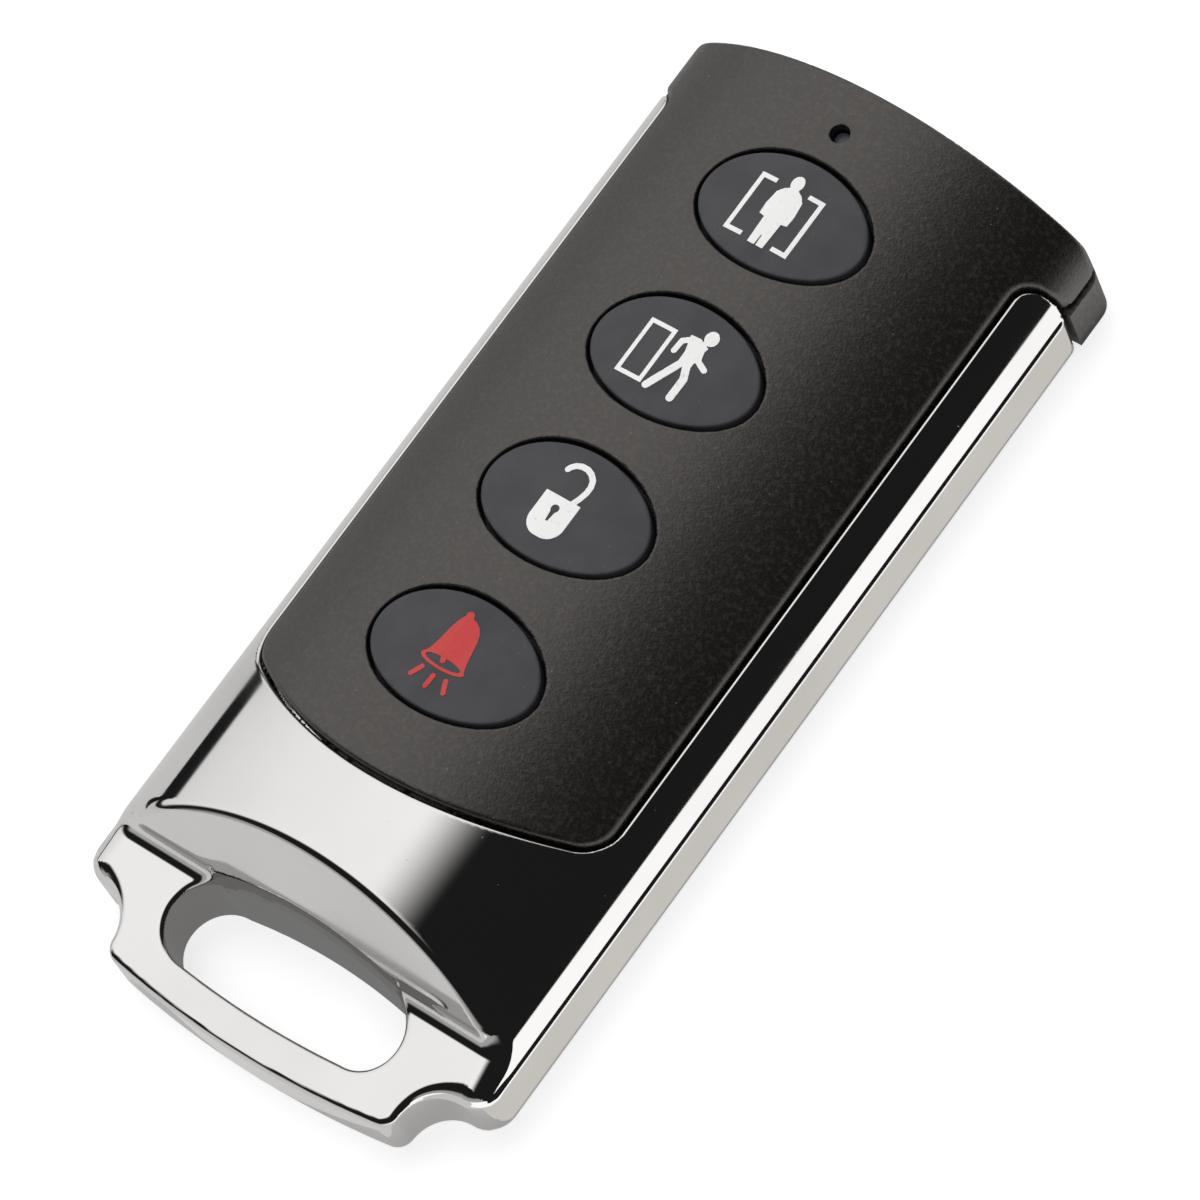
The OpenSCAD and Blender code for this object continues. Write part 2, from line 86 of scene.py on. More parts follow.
# Chrome frame, its wall and rails
WAIST = 3.8
WAIST_INSET = 0.22
WAIST_FILLET = 0.1
WALL_EDGE = 0.5
WALL_TOP_EDGE = 0.2
PROUD = 0.2
PROUD_RISE = 4.0
RAIL_END_EDGE = 0.7
SEAT_DEPTH = 1.7
SEAT_WIDTH = 0.8
SEAT_LIP = 0.34
CAVITY_DEPTH = 2.7
CAVITY_WALL = 1.6
CAVITY_SIDE = 0.4
COVER_FLOOR = 1.2
COVER_CORNER = 2.0
SCREW_POST = 1.8
SCREW_BORE = 1.05
SCREW_REACH = 2.0

# Chrome frame, its loop end
LOOP_HEIGHT = 3.6
LOOP_SLOPE = 0.19
LOOP_REACH = 7.99
LOOP_OVERLAP = 4.0
SCALLOP = 2.65
ARM = 2.3
SHOULDER = 1.8
END_RADIUS = 67.0
TIP_ROUND = 0.9
FACE_LEAN = 0.52
FACE_INSET = 1.2
FACE_CORNER = 0.5
LEDGE = 6.0
LEDGE_EDGE = 0.15
END_EDGE = 0.42
END_EDGE_GROWTH = 0.75
END_EDGE_FROM = 9.5
END_EDGE_RUN = 4.0
SLOT_LENGTH = 5.1
SLOT_INSET = 2.3
SLOT_BULGE = 0.5
SLOT_EDGE = 0.4
FAR_INSIDE = -9.0

# Grid cells of the meshes; the straight stretch of the rails has longer ones
FRAME_CELL = 0.16
RAIL_CELL = 0.8
RAIL_END_CELL = 0.2
RAIL_FROM = -12.0
RAIL_TO = 27.0
PANEL_CELL = 0.17
KEY_CELL = 0.13
PRINT_CELL = 0.045
PRINT_REACH = 3.1
PRINT_RISE = 0.03


def node_box(node):
    low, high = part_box(node)
    return np.array(low) / MM, np.array(high) / MM


def node_middle(node):
    low, high = node_box(node)
    return (low + high) / 2


Y_END = node_box("chrome_frame")[0][1]
Y_TOP = node_box("front_panel")[1][1]
TAIL_Y = node_box("front_panel")[0][1]
KEY_Y = [node_middle(k + "_button")[1] for k in KEYS]
LAMP_Y = node_middle("light_pipe")[1]
SCREW_Y = node_middle("cover_screw")[1]
EAR_Y = Y_TOP - EAR_LENGTH
LOOP_HALF = HALF_WIDTH - SHOULDER - SCALLOP
LEDGE_Y = Y_END + LOOP_REACH
FACE_Y = LEDGE_Y + FACE_LEAN * (HEIGHT - PROUD - LEDGE)
CAVITY_END = FACE_Y + CAVITY_WALL

# Crown across the width: a wide arc over the panel, then a tighter one down to the waist
CROWN_RADIUS = (PANEL_HALF ** 2 + PANEL_DROP ** 2) / (2 * PANEL_DROP)
CROWN_Z = HEIGHT - CROWN_RADIUS
TURN = np.array([PANEL_HALF, CROWN_RADIUS - PANEL_DROP]) / CROWN_RADIUS
FALL = np.array([PANEL_HALF - HALF_WIDTH + SIDE_INSET, HEIGHT - PANEL_DROP - WAIST - FIT])
SIDE_ROUND = FALL @ FALL / (2 * TURN @ FALL)
SIDE_MIDDLE = np.array([0, CROWN_Z]) + (CROWN_RADIUS - SIDE_ROUND) * TURN


# Distance fields: negative inside, millimetres

def round_meet(a, b, r):
    """Overlap of two fields, with its outer edge rounded."""
    return np.minimum(np.maximum(a, b), -r) + np.hypot(np.maximum(a + r, 0), np.maximum(b + r, 0))


def round_join(a, b, r):
    """Two fields joined, with a fillet in the inner corner."""
    return np.maximum(np.minimum(a, b), r) - np.hypot(np.maximum(r - a, 0), np.maximum(r - b, 0))


def disc(x, y, cx, cy, r):
    return np.hypot(x - cx, y - cy) - r


def oval(x, y, a, b):
    k0 = np.hypot(x / a, y / b) + 1e-9
    k1 = np.hypot(x / a ** 2, y / b ** 2) + 1e-9
    return k0 * (k0 - 1) / k1


def crown(x, z):
    x = np.abs(x)
    wide = disc(x, z, 0, CROWN_Z, CROWN_RADIUS)
    tight = disc(x, z, SIDE_MIDDLE[0], SIDE_MIDDLE[1], SIDE_ROUND)
    return np.where(x * TURN[1] > (z - CROWN_Z) * TURN[0], tight, wide)


def head_plan(x, y, inset=0.0):
    r = max(TOP_CORNER - inset, LEAST_CORNER)
    arc = disc(x, y, 0, Y_TOP - TOP_RADIUS, TOP_RADIUS - inset)
    return round_meet(np.abs(x) - HALF_WIDTH + inset, arc, r)


def panel_plan(x, y):
    radius = (PANEL_HALF ** 2 + TAIL_SAG ** 2) / (2 * TAIL_SAG)
    tail = disc(x, y, 0, TAIL_Y + radius, radius)
    tail = np.where(y > TAIL_Y + radius, -radius, tail)
    body = round_meet(np.abs(x) - PANEL_HALF + PANEL_TRIM, tail, TAIL_CORNER)
    body = np.maximum(body, y - Y_TOP + EAR_FILLET)
    ears = round_meet(head_plan(x, y), EAR_Y - y, EAR_CORNER)
    return round_join(body, ears, EAR_FILLET)


def frame_plan(x, y):
    tip_x = LOOP_HALF - TIP_ROUND
    tip_y = Y_END + END_RADIUS - math.sqrt(END_RADIUS ** 2 - tip_x ** 2) + TIP_ROUND
    shoulder_y = tip_y + SCALLOP
    body = round_meet(np.abs(x) - HALF_WIDTH, shoulder_y - y, SHOULDER)
    end = disc(x, y, 0, Y_END + END_RADIUS, END_RADIUS)
    loop = round_meet(np.abs(x) - LOOP_HALF, np.where(y > 0, FAR_INSIDE, end), TIP_ROUND)
    loop = np.maximum(loop, y - shoulder_y - LOOP_OVERLAP)
    return round_meet(round_join(body, loop, SCALLOP), y - EAR_Y + PANEL_GAP, RAIL_END_EDGE)


def slot_plan(x, y):
    r = SLOT_LENGTH / 2
    sx = LOOP_HALF - ARM - r
    near = END_RADIUS - SLOT_INSET
    rise = near - math.sqrt(near ** 2 - sx ** 2)
    far = (sx ** 2 + SLOT_BULGE ** 2) / (2 * SLOT_BULGE)
    sy = Y_END + SLOT_INSET + rise + r
    bar = np.maximum(disc(x, y, 0, Y_END + END_RADIUS, near),
                     disc(x, y, 0, sy + r + SLOT_BULGE - far, far))
    bar = np.maximum(bar, np.abs(x) - sx)
    return np.minimum(bar, disc(np.abs(x), y, sx, sy, r))


def loop_top(y):
    return LOOP_HEIGHT + LOOP_SLOPE * (y - Y_END)


def end_cut(x, y, z):
    """What the loop end keeps: the loop below its top, and the body behind the leaning face."""
    low = (z - loop_top(y)) / math.hypot(1, LOOP_SLOPE)
    behind = (FACE_Y - FACE_LEAN * (HEIGHT - PROUD - z) - y) / math.hypot(1, FACE_LEAN)
    cove = (LEDGE - loop_top(LEDGE_Y)) / (1 - LOOP_SLOPE)
    ledge = round_meet(behind, LEDGE_Y - y, LEDGE_EDGE)
    middle = round_meet(behind, np.abs(x) - LOOP_HALF + ARM + FACE_INSET, FACE_CORNER)
    return np.minimum(round_join(low, ledge, cove), middle)


def frame_hull(x, y, z, skin):
    """The frame's outside: wall, waist line, crown, loop end and slot."""
    plan = frame_plan(x, y)
    wall = round_meet(plan, z - WAIST, WALL_TOP_EDGE)
    rise = np.clip((z - WAIST) / PROUD_RISE, 0, 1)
    low_skin = skin + PROUD * rise ** 2 * (3 - 2 * rise)
    upper = np.maximum(np.maximum(plan, np.abs(x) - HALF_WIDTH + WAIST_INSET), low_skin)
    hull = round_join(wall, upper, WAIST_FILLET)
    spread = np.clip((np.abs(x) - END_EDGE_FROM) / END_EDGE_RUN, 0, 1) ** 2
    hull = round_meet(hull, end_cut(x, y, z), END_EDGE + END_EDGE_GROWTH * spread)
    hull = round_meet(hull, -z, WALL_EDGE)
    return round_meet(hull, -slot_plan(x, y), SLOT_EDGE)


def frame_hollow(x, y, z, skin, panel):
    """The room inside the frame, with the screw's bore and the rear cover's pocket."""
    well = np.maximum(panel + SEAT_WIDTH, COVER_FLOOR - z)
    room = np.maximum(np.maximum(skin + CAVITY_DEPTH, CAVITY_END - y), COVER_FLOOR - z)
    room = np.maximum(room, np.abs(x) - PANEL_HALF + CAVITY_SIDE)
    post = disc(x, y, 0, SCREW_Y, SCREW_POST)
    room = np.maximum(np.minimum(well, room), -post)
    bore = np.maximum(disc(x, y, 0, SCREW_Y, SCREW_BORE), z - LEDGE - SCREW_REACH)
    pocket = round_meet(np.abs(x) - PANEL_HALF - CAVITY_SIDE, CAVITY_END - y, COVER_CORNER)
    pocket = np.maximum(pocket, z - COVER_FLOOR)
    return np.minimum(np.minimum(room, bore), pocket)


def frame_field(x, y, z):
    skin = crown(x, z)
    panel = panel_plan(x, y)
    recess = np.maximum(panel - PANEL_GAP, -(skin + SEAT_DEPTH))
    hull = round_meet(frame_hull(x, y, z, skin), -recess, SEAT_LIP)
    return np.maximum(hull, -frame_hollow(x, y, z, skin, panel))


def panel_field(x, y, z):
    skin = crown(x, z)
    shell = round_meet(skin, panel_plan(x, y), PANEL_EDGE)
    shell = np.maximum(shell, WAIST + FIT - z)
    inside = np.maximum(skin + PANEL_WALL, head_plan(x, y, HEAD_WALL))
    shell = np.maximum(shell, -inside)
    for key_y in KEY_Y:
        shell = round_meet(shell, -oval(x, y - key_y, *KEY_OPENING), OPENING_EDGE)
    return round_meet(shell, -disc(x, y, 0, LAMP_Y, LAMP_HOLE), LAMP_HOLE_EDGE)


def key_top(x):
    return HEIGHT - KEY_RECESS - KEY_RADIUS + np.sqrt(KEY_RADIUS ** 2 - x ** 2)


def key_field(low):
    """A rubber key round the middle of its opening: cap, flange and the stem below it."""
    flange_z = low + FLANGE_RISE
    a, b = KEY_OPENING[0] - KEY_GAP, KEY_OPENING[1] - KEY_GAP

    def field(x, y, z):
        plan = oval(x, y, a, b)
        lid = disc(x, z, 0, HEIGHT - KEY_RECESS - KEY_RADIUS, KEY_RADIUS)
        cap = np.maximum(round_meet(plan, lid, KEY_EDGE), flange_z - z)
        flange = np.maximum(oval(x, y, a + KEY_FLANGE, b + KEY_FLANGE), crown(x, z) + FLANGE_DEPTH)
        flange = np.maximum(flange, flange_z - z)
        stem = np.maximum(np.hypot(x, y) - STEM_RADIUS, np.maximum(low - z, z - flange_z - FLANGE_RISE))
        return round_join(np.minimum(cap, stem), flange, FLANGE_FILLET)
    return field


# Meshes from the fields

def slope(field, p, h=0.01):
    """A field's gradient at points, from its values a small step to either side."""
    g = np.empty_like(p)
    for k in range(3):
        step = np.zeros(3)
        step[k] = h
        g[:, k] = (field(*(p + step).T) - field(*(p - step).T)) / (2 * h)
    return g


def cell_quads(inside, index):
    """Four cells round each grid edge that crosses the surface."""
    quads = []
    for k in range(3):
        u, v = (k + 1) % 3, (k + 2) % 3
        a = [slice(None)] * 3
        b = [slice(None)] * 3
        a[k], b[k] = slice(None, -1), slice(1, None)
        first, second = inside[tuple(a)], inside[tuple(b)]
        cross = np.argwhere(first != second)
        keep = (cross[:, u] > 0) & (cross[:, v] > 0)
        keep &= (cross[:, u] < inside.shape[u] - 1) & (cross[:, v] < inside.shape[v] - 1)
        cross = cross[keep]
        corners = []
        for du, dv in ((-1, -1), (0, -1), (0, 0), (-1, 0)):
            c = cross.copy()
            c[:, u] += du
            c[:, v] += dv
            corners.append(index[tuple(c.T)])
        quad = np.stack(corners, 1)
        flip = ~first[tuple(cross.T)]
        quad[flip] = quad[flip][:, ::-1]
        quads.append(quad)
    return np.concatenate(quads)


def ticks(*stops):
    """Grid lines from stop to stop; each stop but the last gives its place and the cell after it."""
    runs = [np.arange(a, b, cell) for (a, cell), (b, _) in zip(stops[:-1], stops[1:])]
    return np.concatenate(runs + [[stops[-1][0]]])


def even_axes(low, high, cell):
    return [ticks((a - cell, cell), (b + 2 * cell, 0)) for a, b in zip(low, high)]


def skin_points(field, axes):
    """Points on a field's surface, one in each grid cell it crosses, and the quads that join them."""
    value = field(*np.meshgrid(*axes, indexing="ij"))
    cells = tuple(n - 1 for n in value.shape)
    total = np.zeros(cells + (3,))
    count = np.zeros(cells)
    for k in range(3):
        for du in (0, 1):
            for dv in (0, 1):
                start = np.zeros(3, int)
                start[(k + 1) % 3], start[(k + 2) % 3] = du, dv
                end = start.copy()
                end[k] = 1
                f0 = value[tuple(slice(s, s + n) for s, n in zip(start, cells))]
                f1 = value[tuple(slice(s, s + n) for s, n in zip(end, cells))]
                hit = (f0 < 0) != (f1 < 0)
                t = np.where(hit, f0 / np.where(hit, f0 - f1, 1), 0)
                for m in range(3):
                    total[..., m] += np.where(hit, start[m] + (t if m == k else 0), 0)
                count += hit
    used = np.argwhere(count > 0)
    index = np.full(cells, -1)
    index[tuple(used.T)] = np.arange(len(used))
    local = total[tuple(used.T)] / count[tuple(used.T)][:, None]
    points = np.empty(local.shape)
    for m, axis in enumerate(axes):
        a, b = axis[used[:, m]], axis[used[:, m] + 1]
        points[:, m] = a + (b - a) * local[:, m]
    return points, cell_quads(value < 0, index)


def field_piece(name, field, axes, shift=(0, 0, 0)):
    """A mesh on a field's surface, with the field's own normals."""
    points, quads = skin_points(field, axes)
    cell = min(np.diff(a).min() for a in axes[::2])
    for _ in range(4):
        g = slope(field, points)
        step = (field(*points.T) / np.maximum((g * g).sum(1), 0.2))[:, None] * g
        size = np.linalg.norm(step, axis=1, keepdims=True)
        points = points - step * np.minimum(1, 0.4 * cell / np.maximum(size, 1e-9))
    g = slope(field, points, 0.02)
    normals = g / np.maximum(np.linalg.norm(g, axis=1, keepdims=True), 1e-9)
    mesh = bpy.data.meshes.new(name)
    mesh.from_pydata(((points + np.array(shift)) * MM).tolist(), [], quads.tolist())
    mesh.update()
    mesh.polygons.foreach_set("use_smooth", np.ones(len(mesh.polygons), bool))
    mesh.normals_split_custom_set_from_vertices(normals.tolist())
    return new_piece(name, mesh)


def new_piece(name, mesh):
    piece = bpy.data.objects.new(name, mesh)
    bpy.context.scene.collection.objects.link(piece)
    return piece


# Printed signs on the keys

def line_gap(x, y, a, b):
    """Distance from the line between two points."""
    dx, dy = b[0] - a[0], b[1] - a[1]
    t = np.clip(((x - a[0]) * dx + (y - a[1]) * dy) / (dx * dx + dy * dy), 0, 1)
    return np.hypot(x - a[0] - t * dx, y - a[1] - t * dy)


def stroke(x, y, points, width):
    """A line through points, as wide as a pen."""
    gaps = [line_gap(x, y, a, b) for a, b in zip(points[:-1], points[1:])]
    return np.minimum.reduce(gaps) - width / 2


def block(x, y, x0, x1, y0, y1):
    return np.maximum(np.maximum(x0 - x, x - x1), np.maximum(y0 - y, y - y1))


def taper(x, y, cx, y0, y1, w0, w1):
    """A bar along y, round cx, whose half width runs from w0 to w1."""
    t = np.clip((y - y0) / (y1 - y0), 0, 1)
    lean = math.hypot(1, (w1 - w0) / (y1 - y0))
    return np.maximum((np.abs(x - cx) - (w0 + (w1 - w0) * t)) / lean, np.maximum(y0 - y, y - y1))


def shape(x, y, points):
    """A closed outline's field."""
    sides = list(zip(points, points[1:] + points[:1]))
    best = np.minimum.reduce([line_gap(x, y, a, b) for a, b in sides])
    odd = np.zeros(x.shape, bool)
    for (ax, ay), (bx, by) in sides:
        if ay != by:
            odd ^= ((ay > y) != (by > y)) & (x < ax + (y - ay) * (bx - ax) / (by - ay))
    return np.where(odd, -best, best)


def stay_sign(x, y):
    brackets = np.minimum(
        shape(x, y, [(-1.5, 1.88), (-2.68, 1.88), (-2.68, -2.32), (-1.35, -2.32), (-1.35, -2.02),
                     (-2.38, -2.02), (-2.38, 1.58), (-1.5, 1.58)]),
        shape(x, y, [(0.85, 1.88), (2.0, 1.88), (2.0, -2.32), (0.85, -2.32), (0.85, -2.02),
                     (1.7, -2.02), (1.7, 1.58), (0.85, 1.58)]))
    half = [(0.22, 1.72), (0.62, 1.5), (0.9, 1.15), (1.02, 0.2), (0.98, -0.5), (0.68, -0.55),
            (0.6, -0.3), (0.56, -1.3), (0.52, -2.4), (0.1, -2.4), (0.04, -0.9)]
    figure = shape(np.abs(x + 0.18), y, half + [(-0.3, -0.9), (-0.3, 1.72)]) - 0.04
    head = oval(x + 0.25, y - 2.12, 0.42, 0.52)
    return np.minimum(brackets, np.minimum(figure, head))


def away_sign(x, y):
    door = np.abs(block(x, y, -2.65, -0.95, -2.08, 1.55)) - 0.14
    trunk = shape(x, y, [(0.1, 1.8), (0.75, 1.85), (1.45, 1.55), (1.3, 0.9), (1.25, 0.0), (0.42, 0.0),
                         (0.4, 0.8)]) - 0.04
    head = oval(x - 1.32, y - 2.2, 0.46, 0.5)
    back = stroke(x, y, [(0.3, 1.6), (-0.2, 1.25), (-0.26, 0.5)], 0.38)
    front = stroke(x, y, [(1.2, 1.35), (1.42, 0.62), (2.1, 0.3)], 0.38)
    trail = stroke(x, y, [(0.68, 0.15), (0.25, -0.75), (-0.42, -2.15)], 0.5)
    lead = stroke(x, y, [(0.98, 0.15), (1.38, -0.8), (1.36, -2.15)], 0.5)
    limbs = np.minimum(np.minimum(back, front), np.minimum(trail, lead))
    return np.minimum(np.minimum(door, head), np.minimum(trunk, limbs))


def disarm_sign(x, y):
    body = round_meet(np.maximum(-1.52 - x, x - 1.0), -2.4 - y, 1.08)
    body = np.maximum(body, y - 0.4)
    eye = disc(x, y, -0.3, -0.42, 0.27)
    wedge = taper(x, y, -0.31, -1.3, -0.42, 0.08, 0.19)
    body = np.maximum(body, -np.minimum(eye, wedge))
    bow = stroke(x, y, [(0.42, 0.3), (0.62, 0.8), (0.75, 1.3), (0.76, 1.75), (0.62, 2.15), (0.32, 2.44),
                        (-0.08, 2.6), (-0.5, 2.6), (-0.86, 2.46), (-1.1, 2.22), (-1.18, 2.05)], 0.38)
    return np.minimum(body, bow)


def panic_sign(x, y):
    rise = [-0.8, -0.55, -0.2, 0.45, 1.3, 1.8, 2.1, 2.3, 2.45]
    right = np.interp(y, rise, [1.44, 1.3, 1.18, 1.05, 0.88, 0.7, 0.46, 0.16, -0.25])
    left = np.interp(y, rise, [-1.74, -1.55, -1.4, -1.26, -1.14, -1.02, -0.92, -0.8, -0.7])
    bell = np.maximum(0.9 * np.maximum(x - right, left - x), np.maximum(-0.8 - y, y - 2.45))
    knob = disc(x, y, -0.52, 2.48, 0.26)
    rim = oval(x + 0.15, y + 0.78, 1.6, 0.44)
    clapper = stroke(x, y, [(-0.34, -0.4), (-0.24, -0.64)], 0.36)
    mouth = np.maximum(oval(x + 0.17, y + 0.74, 1.28, 0.29), -clapper)
    bell = np.maximum(np.minimum(bell, np.minimum(knob, rim)), -mouth)
    rays = np.minimum(stroke(x, y, [(-1.12, -1.55), (-1.47, -2.22)], 0.32),
                      stroke(x, y, [(-0.16, -1.7), (-0.2, -2.45)], 0.32))
    rays = np.minimum(rays, stroke(x, y, [(0.72, -1.62), (1.03, -2.3)], 0.32))
    return np.minimum(bell, rays)


def grid_quads(n):
    """Quads of a square grid that has n points along each side."""
    a = (np.arange(n - 1)[:, None] * n + np.arange(n - 1)).ravel()
    return np.stack([a, a + n, a + n + 1, a + 1], 1)


def sign_squares(sign):
    """Grid points and squares inside a sign, with the points near its edge drawn onto it."""
    lines = np.arange(-PRINT_REACH, PRINT_REACH + PRINT_CELL, PRINT_CELL)
    x, y = [g.ravel() for g in np.meshgrid(lines, lines, indexing="ij")]
    for _ in range(2):
        f = sign(x, y)
        gx = (sign(x + 0.005, y) - sign(x - 0.005, y)) / 0.01
        gy = (sign(x, y + 0.005) - sign(x, y - 0.005)) / 0.01
        near = (np.abs(f) < 0.62 * PRINT_CELL) / np.maximum(gx * gx + gy * gy, 0.3)
        x, y = x - near * f * gx, y - near * f * gy
    kept = sign(x, y) < 0.12 * PRINT_CELL
    quads = grid_quads(len(lines))
    quads = quads[kept[quads].all(1)]
    used, index = np.unique(quads, return_inverse=True)
    return x[used], y[used], index.reshape(quads.shape)


def sign_piece(name, sign, key_y):
    """A thin print on a key: the sign's squares, an underside inside the key, and walls round the rim."""
    x, y, quads = sign_squares(sign)
    top = np.stack([x, y + key_y, key_top(x) + PRINT_RISE], 1)
    low = top - np.array([0, 0, 2 * PRINT_RISE])
    m = len(x)
    edges = np.concatenate([quads[:, [i, (i + 1) % 4]] for i in range(4)])
    code = np.sort(edges, 1) @ np.array([m, 1])
    _, first, times = np.unique(code, return_index=True, return_counts=True)
    rim = edges[first[times == 1]]
    walls = np.stack([rim[:, 1], rim[:, 0], rim[:, 0] + m, rim[:, 1] + m], 1)
    mesh = bpy.data.meshes.new(name)
    faces = np.concatenate([quads, quads[:, ::-1] + m, walls])
    mesh.from_pydata((np.concatenate([top, low]) * MM).tolist(), [], faces.tolist())
    mesh.update()
    return new_piece(name, mesh)


# Materials

class Wire:
    """A node's output that takes part in Python sums; each sum adds a Math node."""

    def __init__(self, finish, socket):
        self.finish = finish
        self.socket = socket

    def math(self, operation, a, b):
        return self.finish.node("ShaderNodeMath", {"operation": operation}, {0: a, 1: b})

    def __add__(self, other):
        return self.math("ADD", self, other)

    def __sub__(self, other):
        return self.math("SUBTRACT", self, other)

    def __rsub__(self, other):
        return self.math("SUBTRACT", other, self)

    def __mul__(self, other):
        return self.math("MULTIPLY", self, other)

    __radd__ = __add__
    __rmul__ = __mul__

    def step(self, low, high):
        """0 below low, 1 above high and smooth between; low may be the larger."""
        return self.finish.node("ShaderNodeMapRange", {"interpolation_type": "SMOOTHSTEP"},
                                {"Value": self, "From Min": low, "From Max": high})


class Finish:
    """A node tree that is filled by plain calls."""

    def __init__(self, owner):
        owner.use_nodes = True
        self.tree = owner.node_tree
        self.tree.nodes.clear()

    def node(self, kind, settings=None, sockets=None, out=0):
        node = self.tree.nodes.new(kind)
        for key, value in (settings or {}).items():
            setattr(node, key, value)
        for key, value in (sockets or {}).items():
            if isinstance(value, Wire):
                self.tree.links.new(value.socket, node.inputs[key])
            else:
                node.inputs[key].default_value = value
        return Wire(self, node.outputs[out]) if len(node.outputs) else None

    def place(self):
        return self.node("ShaderNodeTexCoord", out="Object")

    def noise(self, size, detail=2.0, rough=0.5):
        """Noise from 0 to 1 whose lumps are about size millimetres."""
        return self.node("ShaderNodeTexNoise", None,
                         {"Vector": self.place(), "Scale": 1 / (size * MM),
                          "Detail": detail, "Roughness": rough})

    def specks(self, size, radius):
        """Sparse round specks: 1 inside, 0 outside."""
        gap = self.node("ShaderNodeTexVoronoi", None, {"Vector": self.place(), "Scale": 1 / (size * MM)})
        return gap.step(radius, 0.6 * radius)

    def mix(self, share, a, b):
        return self.node("ShaderNodeMix", {"data_type": "RGBA"}, {0: share, 6: a, 7: b}, out=2)

    def bump(self, height, depth, strength):
        return self.node("ShaderNodeBump", None,
                         {"Strength": strength, "Distance": depth * MM, "Height": height})

    def surface(self, **sockets):
        names = {k.replace("_", " "): v for k, v in sockets.items()}
        shader = self.node("ShaderNodeBsdfPrincipled", None, names)
        self.node("ShaderNodeOutputMaterial", None, {"Surface": shader})


def new_finish(name):
    material = bpy.data.materials.new(name)
    return material, Finish(material)


def rgb(r, g, b):
    return (r, g, b, 1.0)


def bright_chrome():
    material, f = new_finish("bright_chrome")
    haze = f.noise(9.0, 4.0)
    dust = f.specks(1.6, 0.035)
    f.surface(Base_Color=f.mix(haze.step(0.35, 0.8), rgb(0.81, 0.795, 0.78), rgb(0.76, 0.745, 0.73)),
              Metallic=1.0,
              Roughness=0.045 + 0.05 * haze.step(0.45, 0.75) + 0.3 * dust,
              Normal=f.bump(f.noise(6.0, 1.0), 0.003, 0.1))
    return material


def black_panel(name, tone, rough):
    """Textured black plastic: a fine grain, a softer mottle and a little dust."""
    material, f = new_finish(name)
    grain = f.noise(0.17, 2.0, 0.6)
    mottle = f.noise(0.3, 2.0)
    dust = f.specks(1.1, 0.05)
    dark = tuple(0.3 * c for c in tone)
    light = tuple(3.6 * c for c in tone)
    color = f.mix(mottle.step(0.42, 0.75), rgb(*dark), rgb(*light))
    f.surface(Base_Color=f.mix(0.35 * dust, color, rgb(0.3, 0.28, 0.26)),
              Roughness=rough - 0.08 + 0.16 * grain,
              Specular_IOR_Level=0.9, IOR=1.62, Specular_Tint=rgb(1.0, 0.94, 0.9),
              Normal=f.bump(grain + 0.6 * mottle, 0.03, 0.6))
    return material


def grey_rubber():
    material, f = new_finish("grey_rubber")
    grain = f.noise(0.12, 2.0)
    cloud = f.noise(2.2, 3.0)
    lint = f.specks(0.9, 0.045)
    color = f.mix(cloud.step(0.3, 0.7), rgb(0.043, 0.042, 0.047), rgb(0.053, 0.052, 0.058))
    f.surface(Base_Color=f.mix(0.3 * lint, color, rgb(0.4, 0.4, 0.42)),
              Roughness=0.55 + 0.12 * grain,
              Normal=f.bump(grain, 0.012, 0.5))
    return material


def key_print(name, tone):
    material, f = new_finish(name)
    wear = f.noise(0.35, 3.0, 0.6)
    worn = tuple(0.8 * c for c in tone)
    f.surface(Base_Color=f.mix(wear.step(0.55, 0.8), rgb(*tone), rgb(*worn)),
              Roughness=0.5 + 0.15 * wear,
              Normal=f.bump(wear, 0.006, 0.4))
    return material


def inner_finish(name, tone, metal, rough):
    """Finish of the pieces inside: the tone with a soft mottle and a fine grain."""
    material, f = new_finish(name)
    mottle = f.noise(1.2, 3.0)
    shade = tuple(0.78 * c for c in tone)
    f.surface(Base_Color=f.mix(mottle.step(0.35, 0.7), rgb(*tone), rgb(*shade)), Metallic=metal,
              Roughness=rough + 0.12 * mottle, Normal=f.bump(f.noise(0.15, 2.0), 0.008, 0.4))
    return material


def dress(node, material):
    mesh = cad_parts[node].data
    mesh.materials.clear()
    mesh.materials.append(material)


# The pieces

chrome = bright_chrome()
panel_black = black_panel("panel_black", (0.0048, 0.0038, 0.003), 0.42)
cover_black = black_panel("cover_black", (0.014, 0.0125, 0.0115), 0.5)
rubber = grey_rubber()
white_print = key_print("white_print", (0.9, 0.9, 0.89))
red_print = key_print("red_print", (0.56, 0.045, 0.042))


def finish_piece(piece, material, body, slot, *nodes):
    piece.data.materials.append(material)
    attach(piece, body)
    if nodes:
        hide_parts(*nodes)


def make_shells():
    """The frame has fine cells at its loop end and rail ends and long ones down its straight rails."""
    low, high = node_box("chrome_frame")
    axes = even_axes(low, high, FRAME_CELL)
    axes[1] = ticks((low[1] - FRAME_CELL, FRAME_CELL), (RAIL_FROM, RAIL_CELL), (RAIL_TO, RAIL_END_CELL),
                    (high[1] + 2 * RAIL_END_CELL, 0))
    shell = field_piece("chrome_frame_shell", frame_field, axes)
    finish_piece(shell, chrome, "housing", "bright_chrome", "chrome_frame")
    axes = even_axes(*node_box("front_panel"), PANEL_CELL)
    shell = field_piece("front_panel_shell", panel_field, axes)
    finish_piece(shell, panel_black, "housing", "black_plastic", "front_panel")


